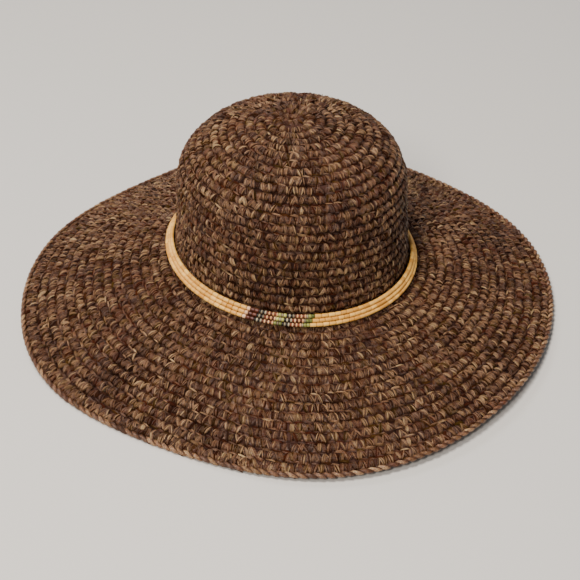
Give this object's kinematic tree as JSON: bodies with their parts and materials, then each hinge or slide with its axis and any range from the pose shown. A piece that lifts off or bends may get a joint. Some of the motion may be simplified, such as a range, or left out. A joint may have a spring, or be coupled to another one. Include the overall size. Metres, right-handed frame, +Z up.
{
  "type": "sun hat",
  "caption": "Wide-brimmed crocheted raffia sun hat with a domed crown, soft wavy brim, ribbon sweatband and a loose multi-strand bead band.",
  "frame": {"origin": "on the surface the brim's edge rests on, under the crown's own vertical axis", "axes": "+Z up through the crown's tip, front of the hat (coloured beads) towards -Y, +X to the hat's left as worn and to the right as seen from the front"},
  "size_m": [0.4437, 0.4507, 0.17],
  "materials": {
    "raffia": "dyed raffia, dull with glossy fibres",
    "raffia_edge": "dyed raffia, worn lighter",
    "ribbon": "ribbed grosgrain ribbon",
    "ribbon_join": "ribbed grosgrain ribbon",
    "thread": "spun thread",
    "label_cloth": "plain satin, blank",
    "bead_cord": "waxed cord",
    "bead_tan": "satin, slightly varied from bead to bead",
    "bead_pink": "satin",
    "bead_rust": "glossy",
    "bead_black": "glossy",
    "bead_pearl": "glossy, pearly",
    "bead_peach": "glossy",
    "bead_coral": "glossy",
    "bead_green": "glossy",
    "spacer_leather": "matt"
  },
  "bodies": {
    "hat": {"crown_tip": "raffia", "crown_top": "raffia", "crown_dome": "raffia", "crown_shoulder": "raffia", "crown_wall": "raffia", "brim": "raffia", "brim_edge": "raffia_edge", "sweatband": "ribbon", "sweatband_join": "ribbon_join", "sweatband_stitches": "thread", "crown_label": "label_cloth"},
    "hatband": {"lower_cord": "bead_cord", "middle_cord": "bead_cord", "upper_cord": "bead_cord", "lower_tan_beads": "bead_tan", "middle_tan_beads": "bead_tan", "upper_tan_beads": "bead_tan", "pink_beads": "bead_pink", "rust_beads": "bead_rust", "black_beads": "bead_black", "pearl_beads": "bead_pearl", "peach_beads": "bead_peach", "coral_beads": "bead_coral", "green_beads": "bead_green", "spacer_bar": "spacer_leather", "cord_knots": "bead_cord"}
  },
  "joints": [
    {"name": "hatband_lift", "type": "slide", "parent": "hat", "child": "hatband", "axis": [0, 0, 1], "range_m": [0, 0.14]}
  ]
}
